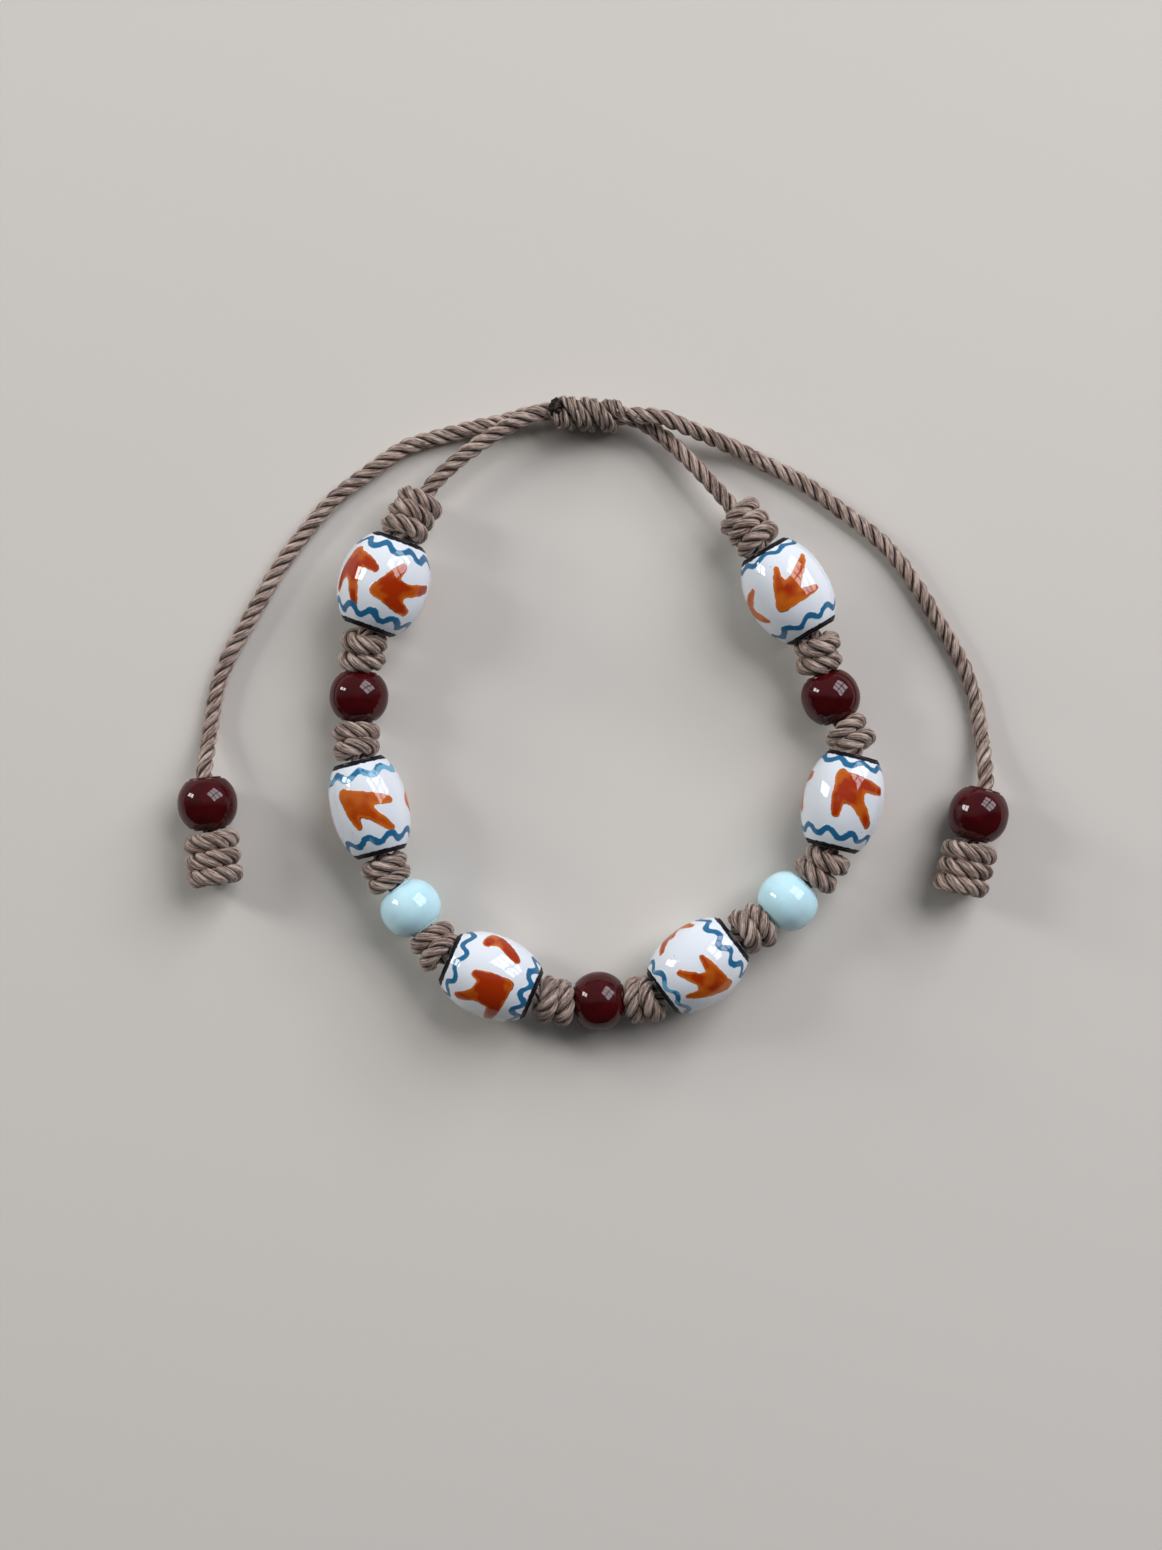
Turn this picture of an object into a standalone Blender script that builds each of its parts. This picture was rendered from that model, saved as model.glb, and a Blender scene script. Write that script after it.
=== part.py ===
"""Adjustable bracelet of painted ceramic beads on a knotted three-ply cord.

The bracelet lies flat on a table at z = 0, +Z up, as seen from above: +X to the right, +Y up
the page. The origin is on the table under the middle of the loop. The loop is strung outwards
from its lowest bead, half to the left and half to the right, bead and knot by turns, and
its two ends run up to the sliding knot. There they cross and leave as the two tails.
Lengths are in millimetres and angles in degrees, until MM and math.radians turn them.
"""

import math

import bmesh
import bpy
import numpy as np
from mathutils import Vector

MM = 0.001

# The cord
CORD_DIAMETER = 2.0
CORD_CLEARANCE = 0.3  # between the cord and the bore of each bead and knot
PIECE_GAP = 0.3  # between one bead or knot and the next on the cord
CORD_SIDES = 8
TAIL_POINT_STEP = 4.0  # along a tail, between the points of its curve

# Painted barrel beads
BARREL_END_DIAMETER = 5.8  # the flat end round each hole
BARREL_SIDES = 16

# Round beads
ROUND_END_DIAMETER = 3.7
ROUND_SIDES = 14
ROUND_LIFT = 0.6  # the cord holds a round bead this far above the table

# Both kinds of bead
BELLY_SHARE = 0.18  # the middle of a bead's length that is at its full width

# Wrapped knots of the loop
KNOT_DIAMETER = 5.9
KNOT_GROOVE = 0.65  # how deep the line between two wraps is
KNOT_SIDES = 12
OUTER_KNOT_LEVEL = 3.8  # the cord's height where it leaves the first and last knot

# Sliding knot, with the two cords one above the other inside
SLIDER_LENGTH = 8.9
SLIDER_WALL = 0.55
SLIDER_LOBES = 3
SLIDER_GROOVE = 0.3
SLIDER_CENTRE = (-1.9, 35.8)
SLIDER_HEADING = -3.5
SLIDER_ROUND_POINTS = 8  # on each of its two round sides
SLIDER_STUB = 0.6  # loop cord that stands out of the sliding knot before a tail begins
SLIDER_RUN = 3.0  # how far a strand keeps the sliding knot's direction
KNOT_RUN = 6.0  # how far a strand keeps the direction of the loop's outer knot

# Tail ends
TAIL_BEAD_DIAMETER = 7.1
TAIL_BEAD_LENGTH = 6.3
END_KNOT_DIAMETER = 6.9
END_KNOT_LENGTH = 6.4
END_KNOT_WRAPS = 3
CORD_END_INSET = 0.6  # the cord stops this far inside its end knot

# The loop's lowest bead, which both halves start from
LOWEST_BEAD = {"name": "red_bead_2", "kind": "red", "diameter": 7.0, "length": 6.0}
LOWEST_BEAD_CENTRE = (-0.9, -34.5)
LOWEST_BEAD_HEADING = 3.0

# Each half from the lowest bead up: a bead has a diameter, a knot a number of wraps.
# A knot turns the string by "turn" and steps it sideways by "side", and a bead keeps it straight.
COLUMNS = ("name", "kind", "length", "diameter", "wraps", "turn", "side")
LEFT_HALF = (
    ("knot_06", "knot", 4.3, 0, 2, 26.0, 0.2),
    ("barrel_bead_3", "barrel", 11.2, 10.0, 0, 0, 0),
    ("knot_05", "knot", 4.0, 0, 2, 29.5, 1.2),
    ("blue_bead_1", "blue", 6.0, 7.3, 0, 0, 0),
    ("knot_04", "knot", 3.9, 0, 2, 23.5, 0.3),
    ("barrel_bead_2", "barrel", 11.5, 9.3, 0, 0, 0),
    ("knot_03", "knot", 4.1, 0, 2, 18.5, 0.2),
    ("red_bead_1", "red", 6.0, 7.0, 0, 0, 0),
    ("knot_02", "knot", 4.4, 0, 2, 15.5, -0.2),
    ("barrel_bead_1", "barrel", 11.4, 10.7, 0, 0, 0),
    ("knot_01", "knot", 5.8, 0, 3, 14.0, 0.1),
)
RIGHT_HALF = (
    ("knot_07", "knot", 3.7, 0, 2, 34.0, -0.7),
    ("barrel_bead_4", "barrel", 11.0, 9.8, 0, 0, 0),
    ("knot_08", "knot", 4.0, 0, 2, 6.5, -1.0),
    ("blue_bead_2", "blue", 6.0, 7.3, 0, 0, 0),
    ("knot_09", "knot", 4.5, 0, 2, 33.0, -0.5),
    ("barrel_bead_5", "barrel", 11.5, 9.5, 0, 0, 0),
    ("knot_10", "knot", 4.1, 0, 2, 35.0, 1.4),
    ("red_bead_3", "red", 6.0, 7.0, 0, 0, 0),
    ("knot_11", "knot", 4.1, 0, 2, 9.0, -1.1),
    ("barrel_bead_6", "barrel", 11.6, 10.0, 0, 0, 0),
    ("knot_12", "knot", 5.6, 0, 3, 8.0, 0.1),
)

# The tails' routes from near the sliding knot to near their beads: x, y and height of the axis
LEFT_TAIL_ROUTE = (
    (-10.9, 35.5, 1.45), (-15.7, 34.4, 1.15), (-20.1, 33.3, 1.05), (-24.2, 32.0, 1.05),
    (-28.2, 29.3, 1.05), (-32.3, 26.2, 1.05), (-35.7, 22.5, 1.05), (-38.9, 18.3, 1.05),
    (-42.0, 13.1, 1.05), (-44.1, 9.4, 1.05), (-45.9, 5.9, 1.05), (-47.0, 2.4, 1.05),
    (-47.6, -1.4, 1.35), (-47.9, -4.5, 2.4),
)
LEFT_TAIL_BEAD = {"centre": (-47.7, -10.9), "heading": -84.0}
RIGHT_TAIL_ROUTE = (
    (5.2, 35.4, 4.3), (8.9, 34.4, 3.8), (13.1, 32.8, 2.4), (16.9, 31.2, 1.2),
    (20.5, 29.4, 1.05), (23.6, 27.8, 1.05), (27.0, 25.4, 1.05), (30.4, 22.9, 1.05),
    (34.1, 19.7, 1.05), (37.2, 15.6, 1.05), (39.9, 11.3, 1.05), (42.0, 7.7, 1.05),
    (43.7, 4.1, 1.05), (44.7, 0.6, 1.05), (45.2, -3.0, 1.5), (45.4, -5.9, 2.5),
)
RIGHT_TAIL_BEAD = {"centre": (44.5, -12.2), "heading": -104.0}

# Finishes: colour, roughness and how much clear glaze lies over it
FINISHES = {
    "painted_ceramic": ((0.84, 0.86, 0.88), 0.12, 1.0),
    "red_glaze": ((0.09, 0.006, 0.008), 0.08, 1.0),
    "blue_glaze": ((0.48, 0.68, 0.76), 0.12, 1.0),
    "waxed_cord": ((0.30, 0.22, 0.17), 0.72, 0.0),
}
FINISH_OF_KIND = {"barrel": "painted_ceramic", "red": "red_glaze", "blue": "blue_glaze"}

CORD_RADIUS = CORD_DIAMETER / 2
BORE_RADIUS = CORD_RADIUS + CORD_CLEARANCE
STRAND_SPACING = CORD_DIAMETER + CORD_CLEARANCE  # between the axes inside the sliding knot
SLIDER_HALF_WIDTH = BORE_RADIUS + SLIDER_WALL
SLIDER_HALF_HEIGHT = SLIDER_HALF_WIDTH + STRAND_SPACING / 2


def direction(heading):
    """The level unit vector at a heading, anticlockwise from +X."""
    return Vector((math.cos(math.radians(heading)), math.sin(math.radians(heading)), 0.0))


def left_of(heading):
    return direction(heading + 90.0)


def ease(share):
    """Nought to one with a level start and end."""
    return (1.0 - math.cos(math.pi * share)) / 2.0


def spread(count):
    """Count shares from nought to one, both included."""
    return [i / (count - 1) for i in range(count)]


def flat_radius(radius, sides):
    """From the axis to a flat of a many-sided round, which is where it rests."""
    return radius * math.cos(math.pi / sides)


def bead_level(kind, diameter):
    """The height of a bead's axis: barrels lie on the table and round beads hang on the cord."""
    if kind == "barrel":
        return flat_radius(diameter / 2, BARREL_SIDES)
    return flat_radius(diameter / 2, ROUND_SIDES) + ROUND_LIFT


def straight_axis(start, heading, length):
    """The axis of a bead as a function of a share of its length: a centre and a heading."""
    def axis(share):
        return start + direction(heading) * length * share, heading
    return axis


def bent_axis(start, heading, length, turn, side, rise):
    """The axis of a knot: an arc, with an even step to the side and up to the next bead."""
    def axis(share):
        here = heading + turn * share
        if abs(turn) < 1e-6:
            centre = start + direction(heading) * length * share
        else:
            radius = length / math.radians(turn)
            centre = start + (left_of(heading) - left_of(here)) * radius
        centre = centre + left_of(here) * side * ease(share) + Vector((0, 0, rise * ease(share)))
        return centre, here
    return axis


def string_half(rows, outwards):
    """Place a half's pieces one after another; outwards is 1 to the right and -1 to the left."""
    rows = [dict(zip(COLUMNS, row)) for row in rows]
    heading = LOWEST_BEAD_HEADING
    level = bead_level(LOWEST_BEAD["kind"], LOWEST_BEAD["diameter"])
    reach = (LOWEST_BEAD["length"] / 2 + PIECE_GAP) * outwards
    point = Vector((*LOWEST_BEAD_CENTRE, level)) + direction(heading) * reach
    pieces = []
    for i, row in enumerate(rows):
        length = row["length"] * outwards
        if row["kind"] == "knot":
            follower = rows[i + 1] if i + 1 < len(rows) else None
            ahead = OUTER_KNOT_LEVEL
            if follower:
                ahead = bead_level(follower["kind"], follower["diameter"])
            turn = row["turn"] * outwards
            axis = bent_axis(point, heading, length, turn, row["side"], ahead - point.z)
        else:
            axis = straight_axis(point, heading, length)
        pieces.append({**row, "axis": axis})
        end, heading = axis(1.0)
        point = end + direction(heading) * PIECE_GAP * outwards
    return pieces


def strand(start, start_way, end, end_way):
    """A smooth stretch of cord between two places, leaving and arriving in given directions."""
    first = start + start_way * SLIDER_RUN
    second = end - end_way * KNOT_RUN
    points = []
    for t in spread(12):
        u = 1.0 - t
        points.append(start * u**3 + first * 3 * u * u * t + second * 3 * u * t * t + end * t**3)
    return points


def smooth_curve(points, step):
    """Points at an even step on the natural cubic spline through the route's own points."""
    knots = np.array([tuple(p) for p in points])
    reach = np.concatenate([[0.0], np.cumsum(np.linalg.norm(np.diff(knots, axis=0), axis=1))])
    gaps = np.diff(reach)
    count = len(knots)
    system = np.eye(count)
    sides = np.zeros((count, 3))
    for i in range(1, count - 1):
        system[i, i - 1:i + 2] = gaps[i - 1], 2 * (gaps[i - 1] + gaps[i]), gaps[i]
        after = (knots[i + 1] - knots[i]) / gaps[i]
        before = (knots[i] - knots[i - 1]) / gaps[i - 1]
        sides[i] = 6 * (after - before)
    bends = np.linalg.solve(system, sides)
    curve = []
    for along in np.linspace(0.0, reach[-1], max(2, round(reach[-1] / step)) + 1):
        i = min(int(np.searchsorted(reach, along, side="right")) - 1, count - 2)
        a, b, h = reach[i + 1] - along, along - reach[i], gaps[i]
        point = (bends[i] * a**3 + bends[i + 1] * b**3) / (6 * h)
        point = point + (knots[i] / h - bends[i] * h / 6) * a
        point = point + (knots[i + 1] / h - bends[i + 1] * h / 6) * b
        curve.append(Vector(point))
    return curve


def bead_profile(diameter, end_diameter, rings):
    """A bead's outline: a full belly, and beyond it an ellipse cut off at the flat end."""
    cut = math.sqrt(1.0 - (end_diameter / diameter) ** 2)
    profile = []
    for share in spread(rings):
        swing = math.cos(math.pi * (1.0 - share))  # rings crowd towards the ends
        past_belly = max(0.0, abs(swing) - BELLY_SHARE) / (1.0 - BELLY_SHARE)
        radius = diameter / 2 * math.sqrt(1.0 - (cut * past_belly) ** 2)
        profile.append(((swing + 1.0) / 2.0, radius))
    return profile


def wrapped_profile(radius, groove, wraps):
    """A knot's outline: one bulge for each wrap of the cord."""
    profile = []
    for wrap in range(wraps):
        for place in (0.0, 0.12, 0.5, 0.88):
            dip = 1.0 - math.sqrt(1.0 - (2.0 * place - 1.0) ** 2)
            profile.append(((wrap + place) / wraps, radius - groove * dip))
    profile.append((1.0, radius - groove))
    return profile


def round_ring(centre, heading, radius, sides):
    """A level-axis ring of points with a flat, not a corner, at the bottom."""
    ring = []
    for k in range(sides):
        angle = 2 * math.pi * (k + 0.5) / sides
        out = left_of(heading) * math.cos(angle) + Vector((0, 0, math.sin(angle)))
        ring.append(centre + out * radius)
    return ring


def oblong_ring(centre, heading, half_width, half_height):
    """A ring with straight sides and a round top and bottom, for the sliding knot."""
    ring = []
    for up in (1, -1):
        middle = centre + Vector((0, 0, up * (half_height - half_width)))
        for share in spread(SLIDER_ROUND_POINTS):
            angle = math.pi * share if up > 0 else math.pi * (1.0 + share)
            out = left_of(heading) * math.cos(angle) + Vector((0, 0, math.sin(angle)))
            ring.append(middle + out * half_width)
    return ring


def finish_material(finish):
    material = bpy.data.materials.get(finish)
    if material:
        return material
    colour, roughness, glaze = FINISHES[finish]
    material = bpy.data.materials.new(finish)
    material.use_nodes = True
    shader = material.node_tree.nodes["Principled BSDF"]
    shader.inputs["Base Color"].default_value = (*colour, 1.0)
    shader.inputs["Roughness"].default_value = roughness
    shader.inputs["Metallic"].default_value = 0.0
    shader.inputs["Coat Weight"].default_value = glaze
    return material


def add_object(name, data, finish):
    piece = bpy.data.objects.new(name, data)
    data.materials.append(finish_material(finish))
    bpy.context.scene.collection.objects.link(piece)
    return piece


def bridge_rings(mesh, rings, closed):
    """Join each ring to the next with quads, and the last to the first where it is closed."""
    count = len(rings)
    for i in range(count if closed else count - 1):
        here, there = rings[i], rings[(i + 1) % count]
        sides = len(here)
        for k in range(sides):
            after = (k + 1) % sides
            mesh.faces.new((here[k], here[after], there[after], there[k]))


def add_rings(name, rings, finish, closed):
    """Make a body from rings of points: a sleeve if closed on itself, and otherwise a capped rod."""
    body = bmesh.new()
    rings = [[body.verts.new(point * MM) for point in ring] for ring in rings]
    bridge_rings(body, rings, closed)
    if not closed:
        body.faces.new(rings[0])
        body.faces.new(rings[-1])
    bmesh.ops.recalc_face_normals(body, faces=body.faces)
    data = bpy.data.meshes.new(name)
    body.to_mesh(data)
    body.free()
    piece = add_object(name, data, finish)
    data.shade_smooth()
    data.set_sharp_from_angle(angle=math.radians(50))
    return piece


def add_sleeve(name, axis, profile, sides, bore_shares, finish):
    """A bored bead or knot: the profile's rings outside, and back through the bore."""
    rings = [round_ring(*axis(share), radius, sides) for share, radius in profile]
    rings += [round_ring(*axis(share), BORE_RADIUS, sides) for share in reversed(bore_shares)]
    return add_rings(name, rings, finish, closed=True)


def add_bead(name, kind, axis, diameter):
    if kind == "barrel":
        profile = bead_profile(diameter, BARREL_END_DIAMETER, rings=10)
        return add_sleeve(name, axis, profile, BARREL_SIDES, (0, 1), FINISH_OF_KIND[kind])
    profile = bead_profile(diameter, ROUND_END_DIAMETER, rings=8)
    return add_sleeve(name, axis, profile, ROUND_SIDES, (0, 1), FINISH_OF_KIND[kind])


def add_knot(name, axis, diameter, wraps):
    profile = wrapped_profile(diameter / 2, KNOT_GROOVE, wraps)
    return add_sleeve(name, axis, profile, KNOT_SIDES, spread(2 * wraps + 1), "waxed_cord")


def add_string_piece(piece):
    if piece["kind"] == "knot":
        return add_knot(piece["name"], piece["axis"], KNOT_DIAMETER, piece["wraps"])
    return add_bead(piece["name"], piece["kind"], piece["axis"], piece["diameter"])


def slider_axis():
    """The sliding knot's axis, from its left end to its right end, resting on the table."""
    slope = SLIDER_HALF_WIDTH * math.cos(math.pi / 2 / (SLIDER_ROUND_POINTS - 1))
    level = SLIDER_HALF_HEIGHT - SLIDER_HALF_WIDTH + slope
    centre = Vector((*SLIDER_CENTRE, level))
    start = centre - direction(SLIDER_HEADING) * SLIDER_LENGTH / 2
    return straight_axis(start, SLIDER_HEADING, SLIDER_LENGTH)


def add_slider(axis):
    """The sliding knot: a lobed oblong sleeve with one passage for both cords."""
    rings = []
    for share, shrink in wrapped_profile(0.0, SLIDER_GROOVE, SLIDER_LOBES):
        size = (SLIDER_HALF_WIDTH + shrink, SLIDER_HALF_HEIGHT + shrink)
        rings.append(oblong_ring(*axis(share), *size))
    for share in (1, 0):
        passage = (SLIDER_HALF_WIDTH - SLIDER_WALL, SLIDER_HALF_HEIGHT - SLIDER_WALL)
        rings.append(oblong_ring(*axis(share), *passage))
    return add_rings("sliding_knot", rings, "waxed_cord", closed=True)


def slider_mouth(axis, share, strand_side, beyond):
    """A point on one of the two cords, a little way out of an end of the sliding knot."""
    centre, heading = axis(share)
    out = direction(heading) * (beyond if share else -beyond)
    return centre + out + Vector((0, 0, strand_side * STRAND_SPACING / 2))


def loop_cord_route(left, right, slider):
    """The whole loop of cord: in over the sliding knot, round through every piece and out under."""
    ahead = direction(SLIDER_HEADING)
    left_end, left_heading = left[-1]["axis"](1.0)
    right_end, right_heading = right[-1]["axis"](1.0)
    left_way = direction(left_heading) * -1.0
    right_way = direction(right_heading)
    route = [slider_mouth(slider, 1, 1, SLIDER_STUB)]
    left_mouth = slider_mouth(slider, 0, 1, 0.0)
    route += strand(left_mouth, ahead * -1.0, left_end, left_way * -1.0)
    for piece in reversed(left):
        route += [piece["axis"](share)[0] for share in reversed(piece_shares(piece))]
    for piece in right:
        route += [piece["axis"](share)[0] for share in piece_shares(piece)]
    right_mouth = slider_mouth(slider, 1, -1, 0.0)
    route += reversed(strand(right_mouth, ahead, right_end, right_way * -1.0))
    route.append(slider_mouth(slider, 0, -1, SLIDER_STUB))
    return route


def piece_shares(piece):
    """Where the cord needs a point inside a piece: at a bead's ends, and all along a bent knot."""
    return spread(2 * piece["wraps"] + 1) if piece["kind"] == "knot" else (0.0, 1.0)


def add_loop_cord(route):
    """The loop's cord as one closed rod, its rings square to the route."""
    points = [route[0]]
    for point in route[1:]:
        if (point - points[-1]).length > CORD_CLEARANCE / 2:
            points.append(point)
    rings = []
    for i, point in enumerate(points):
        way = points[min(i + 1, len(points) - 1)] - points[max(i - 1, 0)]
        side = Vector((0, 0, 1)).cross(way).normalized()
        up = way.normalized().cross(side)
        ring = []
        for k in range(CORD_SIDES):
            angle = 2 * math.pi * (k + 0.5) / CORD_SIDES
            ring.append(point + (side * math.cos(angle) + up * math.sin(angle)) * CORD_RADIUS)
        rings.append(ring)
    return add_rings("bead_cord", rings, "waxed_cord", closed=False)


def add_tail(side, start, start_way, route, bead):
    """A tail: its cord, laid along its route to the bead and into the end knot."""
    heading = bead["heading"]
    way = direction(heading)
    middle = Vector((*bead["centre"], TAIL_BEAD_DIAMETER / 2))
    mouth = middle - way * TAIL_BEAD_LENGTH / 2
    knot_start = middle + way * (TAIL_BEAD_LENGTH / 2 + PIECE_GAP)
    knot_axis = straight_axis(knot_start, heading, END_KNOT_LENGTH)
    bead_axis = straight_axis(mouth, heading, TAIL_BEAD_LENGTH)
    tip = knot_start + way * (END_KNOT_LENGTH - CORD_END_INSET)
    points = [start, start + start_way * CORD_RADIUS, *(Vector(point) for point in route)]
    points += [mouth - way * CORD_RADIUS / 2, middle, tip]
    data = bpy.data.curves.new("tail_cord_" + side, "CURVE")
    data.dimensions = "3D"
    data.bevel_depth = CORD_RADIUS * MM
    data.bevel_resolution = 2
    data.use_fill_caps = True
    line = data.splines.new("POLY")
    laid = smooth_curve(points, TAIL_POINT_STEP)
    line.points.add(len(laid) - 1)
    for place, point in zip(line.points, laid):
        place.co = (*(point * MM), 1.0)
    add_object("tail_cord_" + side, data, "waxed_cord")
    add_bead("tail_bead_" + side, "red", bead_axis, TAIL_BEAD_DIAMETER)
    add_knot("end_knot_" + side, knot_axis, END_KNOT_DIAMETER, END_KNOT_WRAPS)


def clear_scene():
    for piece in list(bpy.data.objects):
        bpy.data.objects.remove(piece)


def main():
    clear_scene()
    left = string_half(LEFT_HALF, -1)
    right = string_half(RIGHT_HALF, 1)
    for piece in left + right:
        add_string_piece(piece)
    level = bead_level(LOWEST_BEAD["kind"], LOWEST_BEAD["diameter"])
    start = Vector((*LOWEST_BEAD_CENTRE, level))
    start = start - direction(LOWEST_BEAD_HEADING) * LOWEST_BEAD["length"] / 2
    lowest_axis = straight_axis(start, LOWEST_BEAD_HEADING, LOWEST_BEAD["length"])
    add_bead(LOWEST_BEAD["name"], LOWEST_BEAD["kind"], lowest_axis, LOWEST_BEAD["diameter"])
    slider = slider_axis()
    add_slider(slider)
    add_loop_cord(loop_cord_route(left, right, slider))
    ahead = direction(SLIDER_HEADING)
    reach = SLIDER_STUB + PIECE_GAP
    left_start = slider_mouth(slider, 0, -1, reach)
    right_start = slider_mouth(slider, 1, 1, reach)
    add_tail("left", left_start, ahead * -1.0, LEFT_TAIL_ROUTE, LEFT_TAIL_BEAD)
    add_tail("right", right_start, ahead, RIGHT_TAIL_ROUTE, RIGHT_TAIL_BEAD)


main()
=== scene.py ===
"""Looks of the ceramic bracelet: laid cord, wrapped knots, brush-painted barrels and glazed rounds.

Every piece is placed from the frame: the flat ends of each bead and knot give its axis, and its
farthest corner gives its radius. Lengths here are millimetres and angles degrees, until MM and
math.radians turn them.
"""

import math
from collections import namedtuple

import bmesh
import bpy
import numpy as np
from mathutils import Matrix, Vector, noise


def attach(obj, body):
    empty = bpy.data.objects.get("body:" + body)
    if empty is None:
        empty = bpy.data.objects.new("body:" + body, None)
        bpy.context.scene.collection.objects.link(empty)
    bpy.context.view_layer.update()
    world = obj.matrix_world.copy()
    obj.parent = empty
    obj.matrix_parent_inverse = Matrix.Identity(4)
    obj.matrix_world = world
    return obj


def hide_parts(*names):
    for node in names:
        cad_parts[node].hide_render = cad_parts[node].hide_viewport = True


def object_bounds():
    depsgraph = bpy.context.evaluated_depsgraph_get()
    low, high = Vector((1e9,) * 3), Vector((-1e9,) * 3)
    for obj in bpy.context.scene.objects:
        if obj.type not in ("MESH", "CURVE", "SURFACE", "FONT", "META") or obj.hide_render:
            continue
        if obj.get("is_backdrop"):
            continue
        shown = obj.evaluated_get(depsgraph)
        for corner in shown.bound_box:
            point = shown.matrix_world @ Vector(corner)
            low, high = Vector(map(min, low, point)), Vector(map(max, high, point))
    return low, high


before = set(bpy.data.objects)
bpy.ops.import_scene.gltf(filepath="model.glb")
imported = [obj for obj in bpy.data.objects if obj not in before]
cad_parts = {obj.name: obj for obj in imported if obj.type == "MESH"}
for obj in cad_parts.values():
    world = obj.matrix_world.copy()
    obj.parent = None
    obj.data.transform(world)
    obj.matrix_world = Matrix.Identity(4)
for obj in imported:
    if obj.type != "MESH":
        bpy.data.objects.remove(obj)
cad_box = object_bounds()

MM = 0.001
UP = Vector((0.0, 0.0, 1.0))

# The camera looks straight down, as the photograph does
VIEW_MIDDLE = (-3.04, -7.48)
VIEW_HEIGHT = 184.52  # how much of the bracelet's level the picture's height shows
BRACELET_LEVEL = 5.0
CAMERA_ABOVE = 300.0
SENSOR_HEIGHT = 36.0

# The sliding knot's mouths: two cords, one above the other
MOUTH_RISE = 1.15  # from the middle of the mouth to each cord's axis
TAIL_START = 0.9  # a tail begins this far out of the mouth
MOUTH_HANDLE = 3.0  # how far a strand keeps the sliding knot's direction
KNOT_HANDLE = 6.0  # how far it keeps the direction of the loop's outer knot
END_KNOT_INSET = 0.6  # the cord stops this far inside its end knot

# The tails' routes, from near the sliding knot to near their beads: x, y and height of the axis
LEFT_TAIL_ROUTE = (
    (-10.9, 35.5, 1.45), (-15.7, 34.4, 1.15), (-20.1, 33.3, 1.05), (-24.2, 32.0, 1.05),
    (-28.2, 29.3, 1.05), (-32.3, 26.2, 1.05), (-35.7, 22.5, 1.05), (-38.9, 18.3, 1.05),
    (-42.0, 13.1, 1.05), (-44.1, 9.4, 1.05), (-45.9, 5.9, 1.05), (-47.0, 2.4, 1.05),
    (-47.6, -1.4, 1.35), (-47.9, -4.5, 2.4),
)
RIGHT_TAIL_ROUTE = (
    (5.2, 35.4, 4.3), (8.9, 34.4, 3.8), (13.1, 32.8, 2.4), (16.9, 31.2, 1.2),
    (20.5, 29.4, 1.05), (23.6, 27.8, 1.05), (27.0, 25.4, 1.05), (30.4, 22.9, 1.05),
    (34.1, 19.7, 1.05), (37.2, 15.6, 1.05), (39.9, 11.3, 1.05), (42.0, 7.7, 1.05),
    (43.7, 4.1, 1.05), (44.7, 0.6, 1.05), (45.2, -3.0, 1.5), (45.4, -5.9, 2.5),
)

LOOP_ORDER = (
    "knot_01", "barrel_bead_1", "knot_02", "red_bead_1", "knot_03", "barrel_bead_2",
    "knot_04", "blue_bead_1", "knot_05", "barrel_bead_3", "knot_06", "red_bead_2",
    "knot_07", "barrel_bead_4", "knot_08", "blue_bead_2", "knot_09", "barrel_bead_5",
    "knot_10", "red_bead_3", "knot_11", "barrel_bead_6", "knot_12",
)

# The cord: three plies laid to the right
CORD_DIAMETER = 2.0
PLY_RADIUS = 0.475
TWIST_RADIUS = 0.545
CORD_LAY = 5.4  # length of one full twist
PLY_LUMPS = 420.0  # waves a metre in a ply's thickness
FIBRE_TURN = 0.22  # how far a ply's fibres turn round it in a millimetre
PATH_STEP = 0.4

# Wraps of a knot: a row stays square to the string and steps over to the next row underneath
STEP_OVER = 0.34  # share of a turn
TUCK = 0.16  # share of a turn at each end in which the cord dives under
ROW_LEAN = 0.16
ROW_WANDER = 0.12  # how far a row strays along the string
ROW_SLACK = 0.08  # and outwards
CORE_SQUASH = 0.25  # share of the wrap's radius that sinks in where it dives under
POINTS_A_ROW = 44
OUTER_KNOTS = ("knot_01", "knot_12")
OUTER_ROWS = 3  # the tails' end knots have as many
INNER_ROWS = 2
THICKEST_WRAP = 1.2  # radius
KNOT_LAY = 4.3  # the cord is twisted tighter where it is wrapped

# The sliding knot's own two thin strands, side by side in slanting wraps that make three lobes
WRAP_START = 95.0  # degrees round the cords from their back side, over the top
WRAP_TURNS = 3.0
FIRST_LOBE = 1.55  # from the left mouth
LOBE_STEP = 2.6
WRAP_LEAN = 0.7
WRAP_RADIUS = 1.3
LOBE_SLACK = 0.22
STRANDS_APART = 0.98
STRAND_PLY = 0.29
STRAND_TWIST = 0.31
STRAND_LAY = 4.4
STRAND_POINTS = 220
END_TUCK = 0.05  # share of a strand at each end in which it dives under
END_DIVE = 0.5
STRAND_SLACK = 0.12
CORNER_SHARPNESS = 3  # how squarely a wrap goes over the two cords, one above the other

MELTED_END = (-5.95, 36.2, 5.1)
MELTED_END_SHAPE = (0.85, 1.05, 0.8)

# What counts as a flat end of a piece, in mm where it is a length
UPRIGHT = 0.02  # the most that its normal may rise or fall
SAME_WAY = 0.9998
SAME_DEPTH = 0.02
CORNERS_BEYOND = 0.05
LARGEST_FLATS = 8

AXIS_STEPS = 40
WRAP_AXIS_STEPS = 60
CORD_STEPS = 12  # of the loop's cord in each piece
BARE_STEPS = 40  # and from the sliding knot to the loop's outer knots
CORD_GAP = 0.02  # between the loop's cord and the tail that carries it on

Stretch = namedtuple("Stretch", "start end first_way last_way reach")


# Reading the frame


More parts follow.
